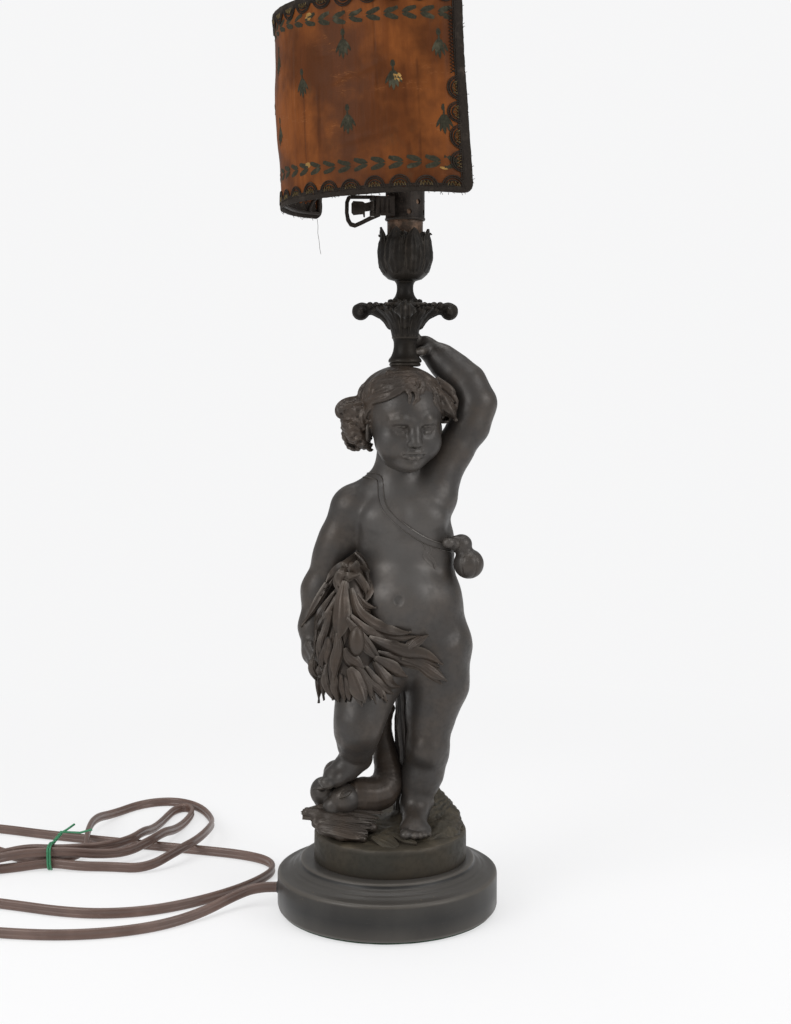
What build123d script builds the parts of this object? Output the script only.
"""Figural table lamp: a cast putto with a sheaf of leaves carries a candle column and a part-round shade.

Frame: millimetres, +Z up, origin at the centre of the felt's underside, -Y towards the viewer.
One threaded rod stands a little off the base's centre and clamps the stack of castings together.
The castings are drawn flat-faced: rings of points set along each form's own line.
"""
import math
import os
from build123d import *

# ---- driving dimensions -------------------------------------------------------------------------
BASE_R = 77.0             # turned wooden base
FELT_R, FELT_T = 74.5, 1.5
DRUM_TOP = 27.0           # top of the base's straight side
BASE_TOP = 38.0
BASE_SIDES = 56
RECESS_R, RECESS_TOP = 56.0, 22.0
GROUND_X, GROUND_R, GROUND_RIM = 2.0, 53.0, 55.5  # round ground casting, a little off the base's centre
ROD_X, ROD_Y = 12.3, 8.0
ROD_R, ROD_BORE_R = 4.0, 2.9
ROD_LOW, ROD_HIGH = 14.0, 452.0
ROD_HOLE_R = ROD_R + 0.12
TRUNK_R = 7.4             # sleeve round the rod between the legs
HEAD_TOP = 379.0
STEM_TOP = 395.5          # stem on the crown of the head
CAPITAL_TOP = 420.0       # leaf capital with four volutes
VOLUTE_REACH = 31.0
NECK_TOP = 434.0
CUP_RIM = 462.0           # leaf cup round the lampholder
LEAF_TIP = 469.0
BARREL_R, BARREL_IN_R = 12.1, 11.15
BARREL_LOW, BARREL_TOP = 457.0, 494.0
COLLAR_IN_R, COLLAR_R = 12.45, 13.25
COLLAR_LOW, COLLAR_TOP = 474.5, 501.0
SHADE_R, CLOTH_T = 87.6, 0.8
SHADE_LOW, SHADE_TOP = 484.5, 609.0
SHADE_FROM, SHADE_TO = -136.0, 25.4  # azimuths of the shade's upright edges, 0 at the viewer, + to the right
SHADE_LEAN, LEAN_Z = 2.0, 498.5  # the shade hangs a little crooked, its top to the left
FLAT_STEP = 7.0           # degrees of each flat round the shade
BINDING_W, BINDING_T = 13.0, 1.0
WIRE_R = 1.3
BULB_SEAT = 478.0         # face of the two sprung contacts
PIN_Z = 487.5             # bayonet pins
TWIST = 18.0              # bulb's turn from locked to free, degrees
FLEX_W, FLEX_T = 7.4, 3.7 # flat twin flex, which stands on edge where it curves on the table
FLEX_EDGE = FLEX_W / 2
INNER_FLEX_R = 2.4
EXIT_AZIMUTH, EXIT_Z = -92.0, 12.0
BUSH_R, BUSH_START, BUSH_LENGTH = 5.0, 52.0, 25.6
TIE_X, TIE_Y = -254.0, 78.0
TIE_SPREAD, TIE_LOW, TIE_HIGH = 2.6, 5.4, 13.6  # places of the four strands in the wire tie

CRUMB = 40.0              # slivers under this volume in mm3 fall away when castings are cut to meet

ROD = Vector(ROD_X, ROD_Y, 0)
CENTRE = Vector(0, 0, 0)


# ---- helpers ------------------------------------------------------------------------------------
def azimuth(degrees, radius, z=0.0, centre=ROD):
    """A point round an upright axis; azimuth 0 faces the viewer and + turns to the right."""
    a = math.radians(degrees)
    return Vector(centre.X + radius * math.sin(a), centre.Y - radius * math.cos(a), z)


def block(x0, x1, y0, y1, z0, z1):
    return Pos(x0, y0, z0) * Box(x1 - x0, y1 - y0, z1 - z0, align=(Align.MIN, Align.MIN, Align.MIN))


def sector(outer, inner, start, stop, low, high, at=ROD):
    """A flat-faced slice of a ring between two azimuths; its flats are at the radii given."""
    steps = max(2, round(abs(stop - start) / FLAT_STEP))
    turns = [start + (stop - start) * i / steps for i in range(steps + 1)]
    grow = 1 / math.cos(math.radians((stop - start) / steps / 2))
    outline = [azimuth(t, outer * grow, 0, CENTRE) for t in turns]
    outline += [azimuth(t, inner * grow, 0, CENTRE) for t in reversed(turns)]
    return Pos(at.X, at.Y, low) * extrude(make_face(Polyline(*outline, close=True)), high - low)


def skin(rings, flat=False):
    """A closed solid through rings of equally many points; flat says that its four-sided panels are plane."""
    faces = [Face(Wire.make_polygon(end)) for end in (rings[0], rings[-1]) if len(end) > 2]
    for low, high in zip(rings, rings[1:]):
        for i in range(max(len(low), len(high))):
            j = i + 1
            a, b = low[i % len(low)], low[j % len(low)]
            c, d = high[j % len(high)], high[i % len(high)]
            if len(low) == 1:
                panels = [[a, c, d]]
            elif len(high) == 1:
                panels = [[a, b, c]]
            else:
                panels = [[a, b, c, d]] if flat else [[a, b, c], [a, c, d]]
            faces += [Face(Wire.make_polygon(p)) for p in panels]
    return Solid(Shell(faces))


def oval(plane, a, b, sides):
    turns = [2 * math.pi * (i + 0.5) / sides for i in range(sides)]
    return [plane.from_local_coords(Vector(a * math.cos(t), b * math.sin(t), 0)) for t in turns]


def levels(rows, sides=16, flat=False):
    """A casting through level ovals (z, centre x, centre y, half width, half depth)."""
    return skin([oval(Plane(origin=(x, y, z)), a, b, sides) for z, x, y, a, b in rows], flat)


def cast_turning(rows, sides=16, at=ROD):
    """A flat-faced turning through (z, radius) levels."""
    return levels([(z, at.X, at.Y, r, r) for z, r in rows], sides, flat=True)


def limb(stations, across=(1, 0, 0), sides=12):
    """A casting through ovals (x, y, z, half width, half depth), each square to the form's own line."""
    points = [Vector(*s[:3]) for s in stations]
    rings = []
    for i, (*_, a, b) in enumerate(stations):
        along = points[min(i + 1, len(points) - 1)] - points[max(i - 1, 0)]
        x_dir = Vector(*across) - along * (Vector(*across).dot(along) / along.length**2)
        rings.append(oval(Plane(origin=points[i], x_dir=x_dir, z_dir=along), a, b, sides))
    return skin(rings)


def boss(x, y, z, r, sides=8, latitudes=(-55, -20, 20, 55)):
    """A flat-faced ball, for fruit, berries and volutes."""
    latitudes = [math.radians(d) for d in latitudes]
    middle = [oval(Plane(origin=(x, y, z + r * math.sin(t))), r * math.cos(t), r * math.cos(t), sides)
              for t in latitudes]
    return skin([[Vector(x, y, z - r)], *middle, [Vector(x, y, z + r)]])


def blade(line, width, thickness, facing=(0, -1, 0)):
    """A leaf along a bent line, pointed at both ends, with a raised midrib."""
    points = [Vector(*p) for p in line]
    rings = [[points[0]]]
    for i in range(1, len(points) - 1):
        along = points[i + 1] - points[i - 1]
        side = Vector(*facing).cross(along).normalized()
        out = along.cross(side).normalized()
        swell = 1.0 if len(points) == 3 or i == len(points) - 2 else 0.75
        rings.append([points[i] + side * width * swell / 2, points[i] + out * thickness / 2,
                      points[i] - side * width * swell / 2, points[i] - out * thickness / 2])
    rings.append([points[-1]])
    return skin(rings)


def prism(radius, sides, low, high, at=ROD):
    """An upright flat-faced bar whose flats are at the radius given."""
    corner = radius / math.cos(math.pi / sides)
    return Pos(at.X, at.Y, low) * extrude(RegularPolygon(corner, sides), high - low)


def rod_hole(low, high, radius=ROD_HOLE_R):
    return prism(radius, 12, low, high)


def tangent_path(points):
    """Straight runs joined by tangent arcs, each arc as large as its two runs allow."""
    points = [Vector(*p) for p in points]
    radii = []
    for a, b, c in zip(points, points[1:], points[2:]):
        turn = math.radians((b - a).get_angle(c - b))
        radii.append(0.45 * min((b - a).length, (c - b).length) / math.tan(turn / 2))
    return FilletPolyline(*points, radius=radii) if radii else Polyline(*points), radii


def flat_flex(points):
    """The flat flex along runs and tangent arcs, on edge, in steps of no more than 25 degrees round an arc."""
    path, radii = tangent_path(points)
    spots = []
    for edge in path.edges():
        steps = 1
        if edge.geom_type == GeomType.CIRCLE:
            steps = max(1, math.ceil((edge % 0).get_angle(edge % 1) / 25))
        spots += [(edge @ (i / steps), edge % (i / steps)) for i in range(steps)]
    spots.append((path @ 1, path % 1))
    rings = []
    for at, along in spots:
        side = Vector(0, 0, 1).cross(along).normalized() * (FLEX_T / 2)
        up = Vector(0, 0, FLEX_W / 2)
        rings.append([at + side + up, at + side - up, at - side - up, at - side + up])
    body = skin(rings)
    share = body.volume / (FLEX_W * FLEX_T * path.length)
    print(f"  length {path.length:.0f}, radii {' '.join(f'{r:.0f}' for r in radii)}, volume share {share:.3f}")
    return body


def keep(name, shape):
    """Writes one named piece."""
    export_step(shape, f"parts/{name}.step")
    print(f"{name}: {len(shape.solids())} solid, {sum(s.volume for s in shape.solids()):.0f} mm3")
    return shape


# ---- base, rod and its fixings ------------------------------------------------------------------
def make_base():
    keep("base_felt", cast_turning([(0, FELT_R), (FELT_T, FELT_R)], BASE_SIDES, CENTRE))
    body = cast_turning([
        (FELT_T, BASE_R - 2.2), (FELT_T + 2.4, BASE_R), (DRUM_TOP - 2.2, BASE_R), (DRUM_TOP, BASE_R - 2.2),
        (28.6, 68.2), (30.4, 65.2), (33.6, 63.0), (36.2, 61.0), (BASE_TOP, GROUND_R + 3.0)], BASE_SIDES, CENTRE)
    body -= prism(RECESS_R, BASE_SIDES // 2, FELT_T - 1, RECESS_TOP, CENTRE)
    body -= rod_hole(RECESS_TOP - 1, BASE_TOP + 1)
    way = azimuth(EXIT_AZIMUTH, 1, 0, CENTRE)
    drill = Plane(origin=azimuth(EXIT_AZIMUTH, BUSH_START, EXIT_Z, CENTRE), z_dir=way)
    body -= drill * extrude(RegularPolygon(BUSH_R + 0.2, 12), 40)
    keep("base_plinth", body)
    bush = skin([oval(drill.offset(d), r, r, 12) for d, r in
                 ((0, BUSH_R - 0.8), (4, BUSH_R - 0.1), (BASE_R - BUSH_START - 1, BUSH_R - 0.1), (BUSH_LENGTH, 4.0))],
                flat=True)
    keep("cord_bush", bush - drill * extrude(RegularPolygon(INNER_FLEX_R + 0.35, 8), 40))
    keep("lamp_rod", prism(ROD_R, 12, ROD_LOW, ROD_HIGH) - prism(ROD_BORE_R, 12, ROD_LOW - 1, ROD_HIGH + 1))
    keep("base_washer", prism(12.0, 16, RECESS_TOP - 1.5, RECESS_TOP) - rod_hole(RECESS_TOP - 2, RECESS_TOP + 1))
    keep("base_nut", prism(6.9, 6, RECESS_TOP - 6.5, RECESS_TOP - 1.5) - rod_hole(RECESS_TOP - 8, RECESS_TOP))


# ---- ground under the figure --------------------------------------------------------------------
def make_ground():
    body = cast_turning([(BASE_TOP, GROUND_R), (GROUND_RIM - 1.6, GROUND_R), (GROUND_RIM - 0.5, GROUND_R - 0.5),
                         (GROUND_RIM, GROUND_R - 1.8), (58.5, 36.0), (60.2, 18.0)], 32, Vector(GROUND_X, 0, 0))
    body += levels([(50, 30, 20, 20, 21), (60, 31, 20, 17.5, 19), (68, 31.5, 18, 13.5, 15), (75, 32, 19, 8.5, 10),
                    (79.5, 32, 20, 3.5, 4.5)], 7)
    body += levels([(52, 43, 2, 7, 14), (60, 43, 4, 6, 12), (63, 42, 5, 3, 6)], 6)
    body += levels([(52, -28, -4, 21, 22), (63, -28, -4, 17, 18), (70, -28, -2, 12, 12)], 8)
    body += blade([(2, -28, 57), (12, -36, 60.3), (24, -42, 56.5)], 8, 3.5, (0, 0, 1))
    return body + blade([(-4, -30, 57), (2, -39, 60.0), (5, -48, 55)], 7, 3.5, (0, 0, 1))


# ---- the figure ---------------------------------------------------------------------------------
TORSO = [  # z, centre x, centre y, half width, half depth
    (160.0, 19.0, 0.0, 17.0, 14.0), (167.0, 19.0, 0.0, 33.0, 24.0), (184.0, 18.5, 0.5, 40.0, 29.0),
    (202.0, 16.5, -2.0, 37.5, 28.5), (222.0, 14.5, -5.0, 36.0, 28.5), (240.0, 12.0, -3.5, 33.0, 25.5),
    (262.0, 11.0, -1.0, 34.0, 23.5), (280.0, 10.5, 1.0, 32.5, 21.0), (291.0, 8.5, 2.5, 27.0, 17.5),
    (299.0, 7.0, 2.5, 20.5, 15.5), (309.0, 7.5, 2.0, 16.5, 15.0), (318.0, 8.5, 1.5, 15.5, 14.8)]


def on_torso(degrees, z, proud=0.0):
    """A point on the torso's skin; 0 degrees faces the viewer and + turns to the right."""
    for low, high in zip(TORSO, TORSO[1:]):
        if low[0] <= z <= high[0]:
            f = (z - low[0]) / (high[0] - low[0])
            _, x, y, a, b = (p + (q - p) * f for p, q in zip(low, high))
            t = math.radians(degrees)
            return (x + (a + proud) * math.sin(t), y - (b + proud) * math.cos(t), z)
    raise ValueError("height outside the torso")


def make_legs():
    standing = limb([
        (34.0, 1.0, 180.0, 20.0, 24.0), (34.2, -0.5, 160.0, 22.0, 23.0), (31.0, -3.0, 140.0, 18.0, 19.0),
        (28.5, -5.0, 122.0, 16.0, 16.5), (27.6, -5.0, 111.0, 15.4, 15.8), (26.8, -1.5, 98.0, 14.6, 15.2),
        (23.6, 0.0, 85.0, 11.8, 12.6), (20.5, -2.0, 75.0, 9.2, 10.5), (19.5, -4.0, 66.0, 9.5, 12.0),
        (19.5, -5.0, 58.0, 9.8, 13.0)], sides=14)
    standing += limb([(19.5, 2.0, 64.0, 8.0, 5.5), (19.5, -9.0, 66.0, 9.2, 8.5), (19.0, -21.0, 63.6, 9.4, 6.0),
                      (18.5, -31.0, 61.5, 9.6, 4.2), (18.5, -37.0, 60.5, 7.0, 2.6)], sides=10)
    bent = limb([
        (2.0, 0.0, 186.0, 18.0, 21.0), (-5.0, -10.0, 170.0, 19.0, 20.5), (-11.5, -21.0, 156.0, 17.2, 18.0),
        (-17.0, -29.0, 144.0, 15.5, 16.0), (-19.5, -33.5, 135.0, 13.5, 12.5)], sides=14)
    shin = limb([
        (-19.5, -30.0, 143.0, 13.5, 12.5), (-19.8, -28.0, 132.0, 14.6, 14.0), (-20.3, -20.0, 119.0, 12.2, 12.2),
        (-20.5, -13.0, 110.0, 9.0, 9.0), (-20.3, -9.0, 104.5, 7.5, 7.2)], sides=12)
    foot = limb([
        (-13.5, -7.5, 108.5, 4.6, 4.5), (-19.0, -10.5, 107.0, 7.4, 7.6), (-27.5, -14.5, 102.5, 7.6, 6.4),
        (-37.0, -19.5, 96.0, 7.6, 4.4), (-42.5, -22.0, 93.5, 5.5, 2.6)], across=(0.4, -1, 0), sides=10)
    return standing, bent + shin + foot


def make_arms():
    lowered = limb([
        (-17.0, 2.5, 288.0, 9.0, 10.0), (-26.5, 2.0, 282.0, 13.0, 13.6), (-33.5, 3.0, 266.0, 12.8, 12.8),
        (-38.5, 5.0, 246.0, 12.0, 12.2), (-46.5, 8.0, 226.0, 12.0, 12.0), (-51.0, 5.0, 207.0, 10.6, 10.4),
        (-50.8, -1.0, 191.0, 8.6, 8.4), (-48.0, -8.0, 179.0, 8.0, 7.0), (-43.5, -14.0, 171.0, 4.5, 4.5)])
    upper = limb([
        (23.0, 4.0, 274.0, 10.0, 11.0), (33.0, 4.0, 290.0, 15.0, 15.0), (38.8, 6.0, 307.0, 13.2, 13.4),
        (47.5, 9.0, 324.0, 12.8, 12.8), (57.5, 12.0, 340.0, 13.2, 13.0), (62.0, 14.0, 353.0, 11.0, 11.0)])
    fore = limb([
        (64.5, 12.5, 344.0, 8.0, 8.0), (61.5, 14.2, 354.0, 12.6, 12.5), (54.5, 17.0, 366.0, 12.0, 12.0),
        (45.0, 20.0, 375.5, 10.8, 10.5), (36.5, 21.3, 383.0, 9.0, 8.5), (28.5, 21.5, 388.5, 7.0, 8.5),
        (21.0, 21.0, 391.5, 3.8, 6.0)], across=(0.6, 0, 0.8))
    return lowered, upper + fore


def make_head():
    skull = levels([
        (308.0, 15.0, -13.0, 6.0, 6.0), (311.0, 14.5, -11.5, 13.0, 12.5), (318.0, 13.5, -8.5, 20.5, 20.0),
        (328.0, 12.5, -5.0, 24.5, 25.5), (340.0, 11.5, -2.0, 26.0, 28.5), (352.0, 11.0, 0.5, 26.5, 30.0),
        (364.0, 11.0, 2.5, 24.0, 27.0), (373.0, 11.5, 5.0, 18.0, 20.0), (HEAD_TOP, 12.3, 8.0, 12.0, 12.0)])
    nose = blade([(15.0, -29.0, 345.0), (18.0, -33.5, 336.0), (18.5, -31.0, 330.5), (18.0, -27.0, 328.0)],
                 6.0, 7.0)
    return skull + nose


def make_hair():
    cap = levels([
        (330.0, 10.0, 8.0, 25.0, 24.0), (340.0, 10.5, 5.0, 29.0, 29.5), (352.0, 10.5, 3.5, 30.0, 32.5),
        (364.0, 11.0, 4.0, 27.0, 29.5), (373.0, 11.8, 6.0, 20.0, 22.0), (HEAD_TOP, 12.3, 8.0, 13.0, 13.0)])
    left_lock = limb([(-13, -4, 360, 6, 7), (-22.5, -3, 350, 10.5, 12), (-24, -1, 339, 10.5, 13),
                      (-16.5, 2, 326, 9, 9.5), (-9, 4, 316, 4, 5)], sides=9)
    right_lock = limb([(33, -4, 362, 6, 8), (38, -4, 350, 7.5, 11), (38, 0, 337, 6.5, 10), (34, 6, 325, 3, 5)],
                      sides=9)
    brow_window = limb([(20, -60, 334, 18, 19), (18, -34, 335, 17, 18), (15, -12, 336, 13, 13)], sides=12)
    return cap + left_lock + right_lock - brow_window


# ---- what the figure holds and stands among -----------------------------------------------------
def make_leaf_bundle():
    """A gathered sheaf over the hip: a swelling core, blades fanned over it and a swag round the back."""
    body = limb([(-20, -16, 240, 6, 7), (-25, -20, 228, 13, 11), (-27, -24, 208, 21, 12), (-26, -28, 186, 26, 12),
                 (-24, -29, 166, 22, 9), (-22, -29, 156, 13, 5)], sides=12)
    gather = Vector(-22, -22, 232)
    fan = [  # tip x, y, z, how far the middle bows out
        (-52, -22, 186, 6), (-50, -27, 168, 7), (-42, -32, 156, 8), (-31, -35, 153, 8), (-18, -37, 153, 8),
        (-6, -37, 158, 8), (5, -37, 165, 8), (17, -37, 160, 9), (36, -35, 167, 10), (28, -34, 182, 8),
        (33, -31, 195, 7)]
    for x, y, z, bow in fan:
        tip = Vector(x, y, z)
        near, far = gather + (tip - gather) * 0.4, gather + (tip - gather) * 0.75
        body += blade([gather, near + Vector(0, -bow, 0), far + Vector(0, -bow, 0), tip], 11.0, 7.0)
    for start, stop, z0, z1 in ((-70, -105, 226, 196), (-75, -140, 222, 188), (-100, -165, 214, 184),
                                (-130, -205, 200, 178), (-170, -245, 190, 176)):
        steps = [(start + (stop - start) * f, z0 + (z1 - z0) * f, p)
                 for f, p in ((0, -1), (0.35, 3), (0.7, 3.5), (1, 1))]
        facing = Vector(*on_torso((start + stop) / 2, 200, 1)) - Vector(*on_torso((start + stop) / 2, 200, 0))
        body += blade([on_torso(a, z, p) for a, z, p in steps], 15.0, 9.0, facing)
    return body


def make_strap():
    """A cord over one shoulder, down across the chest to the other hip and up the back."""
    front = [(-62, 296), (-42, 288), (-20, 278), (5, 270), (35, 262), (65, 256), (90, 252)]
    back = [(120, 257), (150, 267), (180, 278), (210, 287), (240, 293)]
    points = [(*on_torso(a, z, 0.6), 2.0, 2.0) for a, z in front + back]
    return limb(points, across=(0, 0, 1), sides=5)


def make_gourd():
    body = boss(50.5, -8.0, 255.5, 6.4) + boss(55.6, -9.0, 242.6, 10.2, 12)
    return body + limb([(51.0, -8.2, 254.0, 3.6, 3.6), (54.0, -8.8, 246.0, 4.4, 4.4)], sides=8)


def make_horn():
    """Horn of plenty: a wide ribbed mouth, a body that turns and climbs, and a small curled tip."""
    return limb([(-16, -13, 81, 12.5, 12.5), (-13, -12, 80, 14, 14), (-10, -10, 79, 12.5, 12.5),
                 (-4, -6, 79, 12.5, 12.5), (3, -1, 84, 11, 11), (5.5, 4, 95, 9, 9), (2.5, 8, 108, 7.5, 7.5),
                 (-1.5, 10, 120, 6, 6), (0.5, 11.5, 131, 4.2, 4.2), (4.5, 12, 137, 2.2, 2.2)],
                across=(0, -1, 0.2), sides=10)


def make_fruits():
    body = boss(-43, -9, 83, 10)
    for x, y, z, r in ((-27, -18, 81, 11), (-36, -1, 95, 8), (-21, -8, 93, 7.5), (-39, -20, 76, 7)):
        body += boss(x, y, z, r)
    return body


def make_ground_sheaf():
    body = limb([(-2, -26, 60.5, 3, 5), (-16, -28, 63.5, 5, 7), (-30, -27, 64.5, 3.5, 6)], across=(0, 0, 1), sides=8)
    for i in range(6):
        spread = i - 2.5
        start = (-6, -27 + 0.8 * spread, 61.5)
        bow = (-36 - 2 * abs(spread), -27 + 3.2 * spread, 66.0 + 0.9 * spread)
        tip = (-59 + 3.0 * abs(spread), -22 + 4.0 * spread, 70.0 + 1.2 * spread)
        body += blade([start, (-20, -28 + 2 * spread, 65.0 + 0.4 * spread), bow, tip], 6.5, 5.5, (0, -0.5, 1))
    return body


def make_figure():
    """The castings meet without overlap: each smaller one is cut by those it is soldered to."""
    ground = make_ground()
    torso = levels(TORSO, 18)
    standing, bent = make_legs()
    lowered, raised = make_arms()
    head = make_head() - torso
    hair = make_hair() - head - torso
    standing = standing - torso - ground
    bent = bent - torso - standing
    lowered -= torso
    raised = raised - torso - hair - head
    trunk = cast_turning([(56, 10.0), (62, 8.6), (70, TRUNK_R), (120, TRUNK_R + 0.5), (172, TRUNK_R)], 12)
    trunk = trunk - torso - standing - bent - ground
    horn = make_horn() - trunk - standing - bent - ground
    fruits = make_fruits() - horn - bent - ground
    sheaf = make_ground_sheaf() - ground - horn - fruits - standing
    bundle = make_leaf_bundle() - torso - standing - bent - lowered
    strap = make_strap() - torso - lowered - raised - head - hair
    gourd = make_gourd() - torso - strap - raised
    hole = rod_hole(BASE_TOP - 1, HEAD_TOP + 1)
    pieces = dict(ground_casting=ground, figure_torso=torso, figure_head=head, figure_hair=hair,
                  standing_leg=standing, bent_leg=bent, lowered_arm=lowered, raised_arm=raised,
                  trunk_sleeve=trunk, horn_of_plenty=horn, fruit_cluster=fruits, ground_sheaf=sheaf,
                  leaf_bundle=bundle, shoulder_strap=strap, gourd_flask=gourd)
    for name, shape in pieces.items():
        solids = (shape - hole).solids()
        keep(name, Compound([s for s in solids if s.volume > CRUMB]) if len(solids) > 1 else shape - hole)


# ---- candle column ------------------------------------------------------------------------------
def make_column():
    hole = rod_hole(HEAD_TOP - 1, ROD_HIGH)
    stem = cast_turning([(HEAD_TOP, 11.3), (380.6, 11.4), (382.2, 10.4), (385.0, 8.8), (389.0, 7.7), (392.5, 7.7),
                         (STEM_TOP, 8.8)])
    keep("column_stem", stem - hole)
    capital = cast_turning([(STEM_TOP, 8.8), (399, 10.0), (404, 12.5), (409, 16.0), (413, 18.5), (415, 17.5),
                            (CAPITAL_TOP - 3, 12.0), (CAPITAL_TOP - 1, 10.5)], 16)
    for quarter in range(4):
        turn = 90 * quarter
        out = azimuth(turn + 90, 1, 0, CENTRE)
        stations = [(11, 403, 4.2, 2.4), (17.5, 410.5, 5.0, 2.6), (24, 416.5, 4.2, 2.2),
                    (VOLUTE_REACH, 418.6, 3.2, 2.0)]
        line = [(*azimuth(turn, r, z), a, b) for r, z, a, b in stations]
        capital += limb(line, across=out, sides=6)
        tip = azimuth(turn, VOLUTE_REACH + 0.8, 415.4)
        scroll = [(*(tip + out * along), r, r) for along, r in ((-4.0, 3.6), (-3.2, 4.8), (3.2, 4.8), (4.0, 3.6))]
        capital += limb(scroll, across=(0, 0, 1), sides=8)
        for side in (-1, 1):
            berry = azimuth(turn + side * 10, 20.0, 417.2)
            capital += boss(berry.X, berry.Y, berry.Z, 2.8, 6, (-35, 35))
        leaf = [azimuth(turn + 45, r, z) for r, z in ((8, 398), (14.5, 408), (21, 417.5), (24.5, 415.5))]
        capital += blade(leaf, 13, 4.5, azimuth(turn + 45, 1, 0, CENTRE))
    keep("leaf_capital", capital - hole)
    neck = cast_turning([(CAPITAL_TOP - 1, 10.5), (421.0, 9.4), (423.5, 6.8), (427.5, 5.6), (431.0, 5.7),
                         (NECK_TOP, 7.2)])
    keep("column_neck", neck - hole)


def make_cup():
    cup = cast_turning([(NECK_TOP, 7.2), (436.5, 11.0), (440.5, 14.6), (446.0, 16.6), (454.0, 16.9), (CUP_RIM, 15.6)])
    cup -= cast_turning([(445.5, 12.8), (450.0, 13.6), (CUP_RIM + 1, 13.8)])
    for i in range(8):
        turn = 45 * i + 22.5
        out = azimuth(turn + 90, 1, 0, CENTRE)
        line = [(*azimuth(turn, r, z), a, b) for r, z, a, b in (
            (7.6, 434.6, 1.8, 1.2), (13.0, 438.6, 4.4, 2.0), (16.6, 446.0, 5.9, 2.6), (17.0, 454.0, 5.4, 2.6),
            (15.8, 462.0, 3.8, 1.6), (16.4, LEAF_TIP, 0.7, 0.6))]
        cup += limb(line, across=out, sides=6)
    cup -= prism(COLLAR_R + 0.25, 16, 464.0, LEAF_TIP + 2)
    keep("leaf_cup", cup - rod_hole(NECK_TOP - 1, 448))


# ---- lampholder and lamp ------------------------------------------------------------------------
def make_lampholder():
    cap = cast_turning([(446.0, 7.0), (449.0, 9.6), (453.0, 11.8), (BARREL_LOW, BARREL_R)], 20)
    keep("holder_cap", cap - prism(10.0, 16, 453.0, 460.0) - rod_hole(440, 460))
    barrel = (prism(BARREL_R * math.cos(math.pi / 24), 24, BARREL_LOW, BARREL_TOP)
              - prism(BARREL_IN_R, 24, BARREL_LOW - 1, BARREL_TOP + 1))
    half_pin = 6.0
    for side in (90, 270):
        barrel -= sector(BARREL_R + 1, BARREL_IN_R - 1, side - half_pin, side + TWIST + half_pin,
                         PIN_Z - 1.2, PIN_Z + 1.2)
        barrel -= sector(BARREL_R + 1, BARREL_IN_R - 1, side + TWIST - half_pin, side + TWIST + half_pin,
                         PIN_Z, BARREL_TOP + 1)
    keep("holder_barrel", barrel)
    insulator = prism(BARREL_IN_R - 0.3, 16, BARREL_LOW, 471.0)
    for side in (-1, 1):
        insulator -= prism(2.6, 8, 459.0, 472.0, ROD + Vector(5.4 * side, 0, 0))
    insulator -= prism(INNER_FLEX_R + 0.2, 8, 450.0, 472.0)
    keep("holder_insulator", insulator)
    for side, name in ((-1, "left"), (1, "right")):
        at = ROD + Vector(5.4 * side, 0, 0)
        keep(f"contact_{name}", cast_turning([(465.0, 2.4), (476.4, 2.4), (BULB_SEAT, 1.6)], 12, at))
    springs = [cast_turning([(459.0, 2.4), (465.0, 2.4)], 12, ROD + Vector(5.4 * s, 0, 0))
               - cast_turning([(458.0, 1.5), (466.0, 1.5)], 8, ROD + Vector(5.4 * s, 0, 0)) for s in (-1, 1)]
    keep("contact_spring_left", springs[0])
    keep("contact_spring_right", springs[1])


def make_bulb():
    low = BULB_SEAT + 1.0
    cap = cast_turning([(low, BARREL_IN_R - 0.1), (503.0, BARREL_IN_R - 0.1)], 24) - prism(9.6, 16, low + 1.5, 504.0)
    for side in (90, 270):
        pin = Plane(origin=azimuth(side, 10.0, PIN_Z), z_dir=azimuth(side, 1, 0, CENTRE))
        cap += pin * extrude(RegularPolygon(1.0, 8), 2.25)
    for side in (-1, 1):
        cap += prism(2.0, 8, BULB_SEAT + 0.05, low, ROD + Vector(5.4 * side, 0, 0))
    keep("bulb_cap", cap)
    outer = [(503.0, 10.9), (509, 12.5), (518, 17.5), (530, 24.5), (542, 29.2), (552, 30.0), (562, 28.4),
             (574, 21.5), (582.5, 8.0)]
    inner = [(502.0, 9.9)] + [(z, r - 1.0) for z, r in outer[1:-1]] + [(581.5, 7.4)]
    keep("bulb_glass", cast_turning(outer, 16) - cast_turning(inner, 16))
    stem = cast_turning([(481.0, 4.5), (505.0, 4.0), (522.0, 2.2), (534.0, 1.8)], 8)
    arms = [limb([(*azimuth(a, 1.0, 532.0), 0.5, 0.5), (*azimuth(a, 12.0, 552.0), 0.5, 0.5)], sides=4)
            for a in (-90, 90)]
    wire = limb([(*azimuth(-90, 12.4, 552.0), 0.6, 0.6), (*azimuth(0, 5.0, 556.0), 0.6, 0.6),
                 (*azimuth(90, 12.4, 552.0), 0.6, 0.6)], across=(0, 0, 1), sides=4)
    keep("bulb_filament", stem + arms[0] + arms[1] + wire)


# ---- shade and the clamp that carries it --------------------------------------------------------
CLIP_PIN_X, CLIP_PIN_Y = ROD_X - 22.0, ROD_Y - 13.2
CLIP_LOW, CLIP_HIGH = 476.6, 489.6


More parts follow.
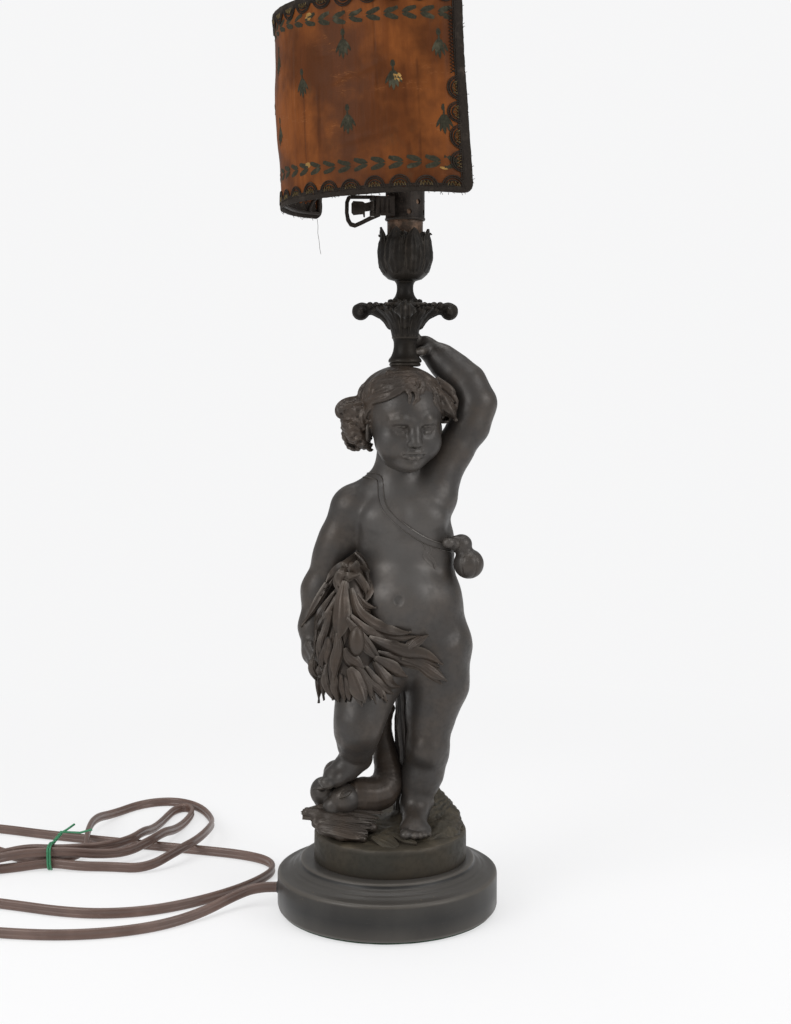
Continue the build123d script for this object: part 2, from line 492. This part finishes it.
def make_collar():
    core = prism(COLLAR_IN_R, 24, COLLAR_LOW - 1, COLLAR_TOP + 1)
    collar = prism(COLLAR_R, 24, COLLAR_LOW, COLLAR_TOP)
    lug = block(CLIP_PIN_X + 2.2, ROD_X - 6.8, CLIP_PIN_Y - 2.0, CLIP_PIN_Y + 2.1, CLIP_LOW, CLIP_HIGH)
    for z in (CLIP_LOW, CLIP_HIGH - 3.0):
        lug += cast_turning([(z, 1.9), (z + 3.0, 1.9)], 12, Vector(CLIP_PIN_X, CLIP_PIN_Y, 0))
        lug += block(CLIP_PIN_X, CLIP_PIN_X + 3, CLIP_PIN_Y - 1.6, CLIP_PIN_Y + 1.6, z, z + 3.0)
    for i in range(3):
        lug -= block(CLIP_PIN_X + 4.5 + 3 * i, CLIP_PIN_X + 5.7 + 3 * i, CLIP_PIN_Y - 3, CLIP_PIN_Y - 1.5,
                     CLIP_LOW + 2, CLIP_HIGH - 2)
    collar = collar + lug - core
    for row, z in ((0, 479.8), (1, 486.4)):
        for i in range(6):
            turn = 60 * i + 30 * row + 12
            if -75 < (turn + 180) % 360 - 180 < -15:
                continue
            hole = Plane(origin=azimuth(turn, COLLAR_R - 3, z), z_dir=azimuth(turn, 1, 0, CENTRE))
            collar -= hole * extrude(RegularPolygon(1.8, 6), 6)
    collar -= prism(0.92, 8, CLIP_LOW - 1, CLIP_HIGH + 1, Vector(CLIP_PIN_X, CLIP_PIN_Y, 0))
    keep("perforated_collar", collar)


def make_clip():
    pin_at = Vector(CLIP_PIN_X, CLIP_PIN_Y, 0)
    foot = Align.CENTER, Align.CENTER, Align.MIN
    keep("clip_pin", Pos(CLIP_PIN_X, CLIP_PIN_Y, CLIP_LOW - 0.6) * Cylinder(0.86, CLIP_HIGH - CLIP_LOW + 1.2, align=foot))
    back = CLIP_PIN_Y + 2.1
    outline = [(-4.5, 476.5), (-10.5, 474.0), (-17.5, 470.6), (-21.5, 469.0), (-25.0, 470.0), (-27.3, 473.5),
               (-28.2, 479.0), (-28.0, 486.0), (-26.6, 489.6), (-24.0, 490.6), (-4.5, 490.2)]
    window = [(-9.0, 478.0), (-17.0, 473.8), (-21.3, 471.9), (-23.5, 472.6), (-24.8, 475.0), (-25.6, 479.0),
              (-25.4, 485.6), (-24.4, 488.0), (-9.0, 488.0)]
    plate = extrude(Plane.XZ.offset(-back) * make_face(Polyline(*outline, close=True)), -1.2)
    plate -= extrude(Plane.XZ.offset(-back + 1) * make_face(Polyline(*window, close=True)), -4)
    keep("clip_loop", plate)
    tongue = [(CLIP_PIN_X, 479.9), (-14.6, 479.4), (-14.6, 475.6), (-15.6, 475.6), (-16.0, 477.6), (-22.4, 477.0),
              (-23.7, 478.6), (-23.7, 484.6), (-22.4, 486.4), (-16.0, 486.0), (-14.6, 485.0), (CLIP_PIN_X, 486.1)]
    lever = extrude(Plane.XZ.offset(-CLIP_PIN_Y) * make_face(Polyline(*tongue, close=True)), 1.1)
    lever += cast_turning([(479.9, 1.9), (486.1, 1.9)], 12, pin_at)
    keep("clip_lever", lever - prism(0.92, 8, 470, 500, pin_at))


def rounded_panel(outer, inner, low, high, corner, trim_each_end=0.0):
    """A bent panel of the shade's width with rounded corners."""
    end = math.degrees(trim_each_end / SHADE_R)
    panel = sector(outer, inner, SHADE_FROM + end, SHADE_TO - end, low, high)
    corners = [e for e in panel.edges() if e.length < 2 * (outer - inner) and abs((e % 0.5).Z) < 0.5]
    return fillet(corners, corner) if corner else panel


def leaning(shape):
    """The shade's crooked stance on its collar."""
    return Pos(ROD_X, ROD_Y, LEAN_Z) * Rot(0, -SHADE_LEAN, 0) * Pos(-ROD_X, -ROD_Y, -LEAN_Z) * shape


def make_shade():
    out, inside = SHADE_R + CLOTH_T, SHADE_R
    keep("shade_cloth", leaning(rounded_panel(out, inside, SHADE_LOW, SHADE_TOP, 6.0)))
    binding = rounded_panel(out + BINDING_T, out, SHADE_LOW, SHADE_TOP, 6.0)
    window = rounded_panel(out + 5, out - 5, SHADE_LOW + BINDING_W, SHADE_TOP - BINDING_W, 0, BINDING_W)
    keep("shade_binding", leaning(binding - window))
    wire_at = SHADE_R - WIRE_R
    low, high = SHADE_LOW + 3.0, SHADE_TOP - 3.0
    frame = None
    for z in (low, high):
        step = (SHADE_TO - SHADE_FROM - 4) / 12
        arc = [azimuth(SHADE_FROM + 2 + step * i, wire_at - 0.15, z) for i in range(13)]
        body = limb([(*p, WIRE_R, WIRE_R) for p in arc], across=(0, 0, 1), sides=6)
        frame = body if frame is None else frame + body
    for turn in (SHADE_FROM + 2.6, -56.0, SHADE_TO - 2.6):
        top = azimuth(turn, wire_at - 0.15, high)
        foot = azimuth(turn, wire_at - 0.15, low)
        frame += limb([(*foot, WIRE_R, WIRE_R), (*top, WIRE_R, WIRE_R)], sides=6)
    for turn in (SHADE_FROM + 10, -56.0, SHADE_TO - 10):
        run = [azimuth(turn, COLLAR_IN_R + 0.3, LEAN_Z), azimuth(turn, 76.0, LEAN_Z), azimuth(turn, wire_at - 0.6, low)]
        frame += limb([(*p, WIRE_R, WIRE_R) for p in run], across=azimuth(turn + 90, 1, 0, CENTRE), sides=6)
    keep("shade_frame", leaning(frame) - prism(COLLAR_R, 24, 470, 510))


# ---- flex, tie and plug -------------------------------------------------------------------------
EXIT_R = BUSH_START + BUSH_LENGTH


def floor(*points):
    """Points of the flex lying on edge on the table."""
    return [(x, y, FLEX_EDGE) for x, y in points]


def lead_route():
    """From the base along its left, out and back, round beside the base and away into the tied loops."""
    start = azimuth(EXIT_AZIMUTH, EXIT_R, EXIT_Z, CENTRE)
    first = azimuth(EXIT_AZIMUTH, EXIT_R + 14, EXIT_Z, CENTRE)
    return [tuple(start), tuple(first), (-107.0, -7.0, 8.8), (-126.0, -28.0, 4.8)] + floor(
        (-150, -49), (-180, -62), (-214, -67), (-248, -64), (-280, -57), (-306, -43), (-316, -24), (-306, -8),
        (-284, -3), (-256, -12), (-226, -23), (-195, -28), (-163, -22), (-134, -5), (-109, 18), (-92, 42),
        (-84, 64), (-90, 84), (-110, 98), (-140, 108), (-172, 117), (-206, 127), (-242, 138), (-278, 150),
        (-314, 164), (-348, 172), (-380, 165), (-402, 144), (-408, 115), (-398, 86), (-376, 65), (-348, 55),
        (-322, 56.5), (-301, 62))


def oval_turn(x, y, half_x, half_y, bearings, heights):
    """Points of one loop of the hank round its middle; bearing 0 is +X and 90 is +Y."""
    return [(x + half_x * math.cos(math.radians(b)), y + half_y * math.sin(math.radians(b)), z)
            for b, z in zip(bearings, heights)]


def hank_route():
    """Two loops to the right of the tie, a wide and a folded one, and one loop to its left."""
    front, rear = TIE_Y - TIE_SPREAD, TIE_Y + TIE_SPREAD
    over = FLEX_EDGE + FLEX_W + 0.8
    points = [(-301, 62, FLEX_EDGE), (-280, 67.5, FLEX_EDGE), (TIE_X, front, TIE_LOW), (-231, 70, 4.2)]
    points += oval_turn(-190, 154, 49, 90, (-112, -78, -50, -30, -10, 20, 52, 84, 116, 146, 172, 196),
                        [FLEX_EDGE] * 2 + [over] * 3 + [FLEX_EDGE] * 5 + [over, over])
    points += [(-232, 103, 6.4), (-240, 88, TIE_LOW - 0.2), (TIE_X - 2, rear, TIE_LOW), (-278, 86, 4.2)]
    points += oval_turn(-334, 96, 40, 22, (40, 75, 110, 150, 190, 230, 262), [FLEX_EDGE] * 7)
    points += [(-312, 75, 5.5), (-290, 81, 10.5), (-272, 83, TIE_HIGH), (TIE_X + 2, rear, TIE_HIGH)]
    points += [(-232, 83.5, TIE_HIGH), (-213, 92, 12.8), (-199, 110, over), (-193, 131, over), (-190, 154, 6.0),
               (-187, 178, FLEX_EDGE), (-184, 199, FLEX_EDGE), (-181, 216, FLEX_EDGE), (-173, 225, FLEX_EDGE),
               (-165, 215, FLEX_EDGE), (-165, 197, FLEX_EDGE), (-168, 175, FLEX_EDGE), (-172, 151, 6.5),
               (-176, 130, over), (-183, 109, over), (-198, 92, 8.0), (-218, 82, 9.5), (-237, 76, TIE_HIGH - 0.4)]
    points += [(TIE_X - 4, front, TIE_HIGH), (-280, 68, TIE_HIGH), (-297, 56, 12.8), (-312, 42, 7.6)]
    return points


def tail_route():
    return [(-312, 42, 7.6), (-322.5, 32.2, 4.0), (-334, 27, 5.4), (-347, 26, 7.4), (-361, 26, 7.4)]


def least_gap(points):
    """The least gap between turns of the flex, measured on points along it, across or above each other."""
    path, _ = tangent_path(points)
    count = int(path.length / 3)
    spots = [path @ (i / count) for i in range(count + 1)]
    gaps = []
    for i, p in enumerate(spots):
        for q in spots[i + 10:]:
            beside = math.hypot(p.X - q.X, p.Y - q.Y) - FLEX_T
            above = abs(p.Z - q.Z) - FLEX_W
            gaps.append((max(beside, above), p))
    return min(gaps, key=lambda gap: gap[0])


def make_flex():
    inner = [(ROD_X, ROD_Y, 471.0), (ROD_X, ROD_Y, 5.2), (-10.0, 5.0, 5.2),
             tuple(azimuth(EXIT_AZIMUTH, BUSH_START - 16, 7.5, CENTRE)),
             tuple(azimuth(EXIT_AZIMUTH, BUSH_START - 1, EXIT_Z, CENTRE)),
             tuple(azimuth(EXIT_AZIMUTH, EXIT_R, EXIT_Z, CENTRE))]
    path = FilletPolyline(*inner, radius=[7.0, 18.0, 18.0, 18.0])
    section = Plane(origin=path @ 0, z_dir=path % 0) * RegularPolygon(INNER_FLEX_R, 6)
    keep("inner_flex", sweep(section, path=path))
    keep("flex_lead", flat_flex(lead_route()))
    hank = hank_route()
    gap, place = least_gap(hank)
    print(f"  hank's least gap to itself {gap:.2f} at {place.X:.0f}, {place.Y:.0f}, {place.Z:.0f}")
    keep("flex_hank", flat_flex(hank))
    keep("flex_tail", flat_flex(tail_route()))


def make_tie_and_plug():
    half_y, low, high, cut = TIE_SPREAD + 5.4, 0.4, TIE_HIGH + 5.4, 1.4
    corners = [(-half_y, low + cut), (-half_y + cut, low), (half_y - cut, low), (half_y, low + cut),
               (half_y, high - cut), (half_y - cut, high), (-half_y + cut, high), (-half_y, high - cut)]
    loop = extrude(Plane(origin=(TIE_X - 1.5, TIE_Y, 0), x_dir=(0, 1, 0), z_dir=(1, 0, 0))
                   * make_face(Polyline(*corners, close=True)), 3.0)
    inner = [(y * (1 - 0.8 / half_y), low + 0.8 + (z - low) * (high - low - 1.6) / (high - low)) for y, z in corners]
    loop -= extrude(Plane(origin=(TIE_X - 3, TIE_Y, 0), x_dir=(0, 1, 0), z_dir=(1, 0, 0))
                    * make_face(Polyline(*inner, close=True)), 6.0)
    for dx, dy, dz in ((16, 12, 12), (30, 8, 9)):
        line = [(TIE_X, TIE_Y + 4, high - 0.6), (TIE_X + dx * 0.4, TIE_Y + dy * 0.6, high + dz * 0.3),
                (TIE_X + dx, TIE_Y + dy, high + dz)]
        loop += limb([(*p, 0.9, 0.9) for p in line], across=(0, 1, 0), sides=6)
    keep("twist_tie", loop)
    x, y, z = -361.0, 26.0, 7.4
    body = limb([(x, y, z, 4.5, 4.0), (x - 12, y, z, 5.5, 4.6), (x - 15, y, z + 0.2, 11.0, 6.8),
                 (x - 24, y, z + 0.2, 15.5, 7.4), (x - 38, y, z + 0.2, 16.5, 7.4),
                 (x - 40, y, z + 0.2, 15.5, 6.6)], across=(0, 1, 0), sides=12)
    keep("plug_body", body)
    blades = [extrude(Plane(origin=(x - 40, y + 6.9 * s, z), x_dir=(0, 1, 0), z_dir=(-1, 0, 0))
                      * Rot(0, 0, 30 * s) * Rectangle(1.6, 6.3), 17) for s in (-1, 1)]
    keep("plug_blades", Compound([b.solid() for b in blades]))


if __name__ == "__main__":
    os.makedirs("parts", exist_ok=True)
    make_base()
    make_figure()
    make_column()
    make_cup()
    make_lampholder()
    make_bulb()
    make_collar()
    make_clip()
    make_shade()
    make_flex()
    make_tie_and_plug()
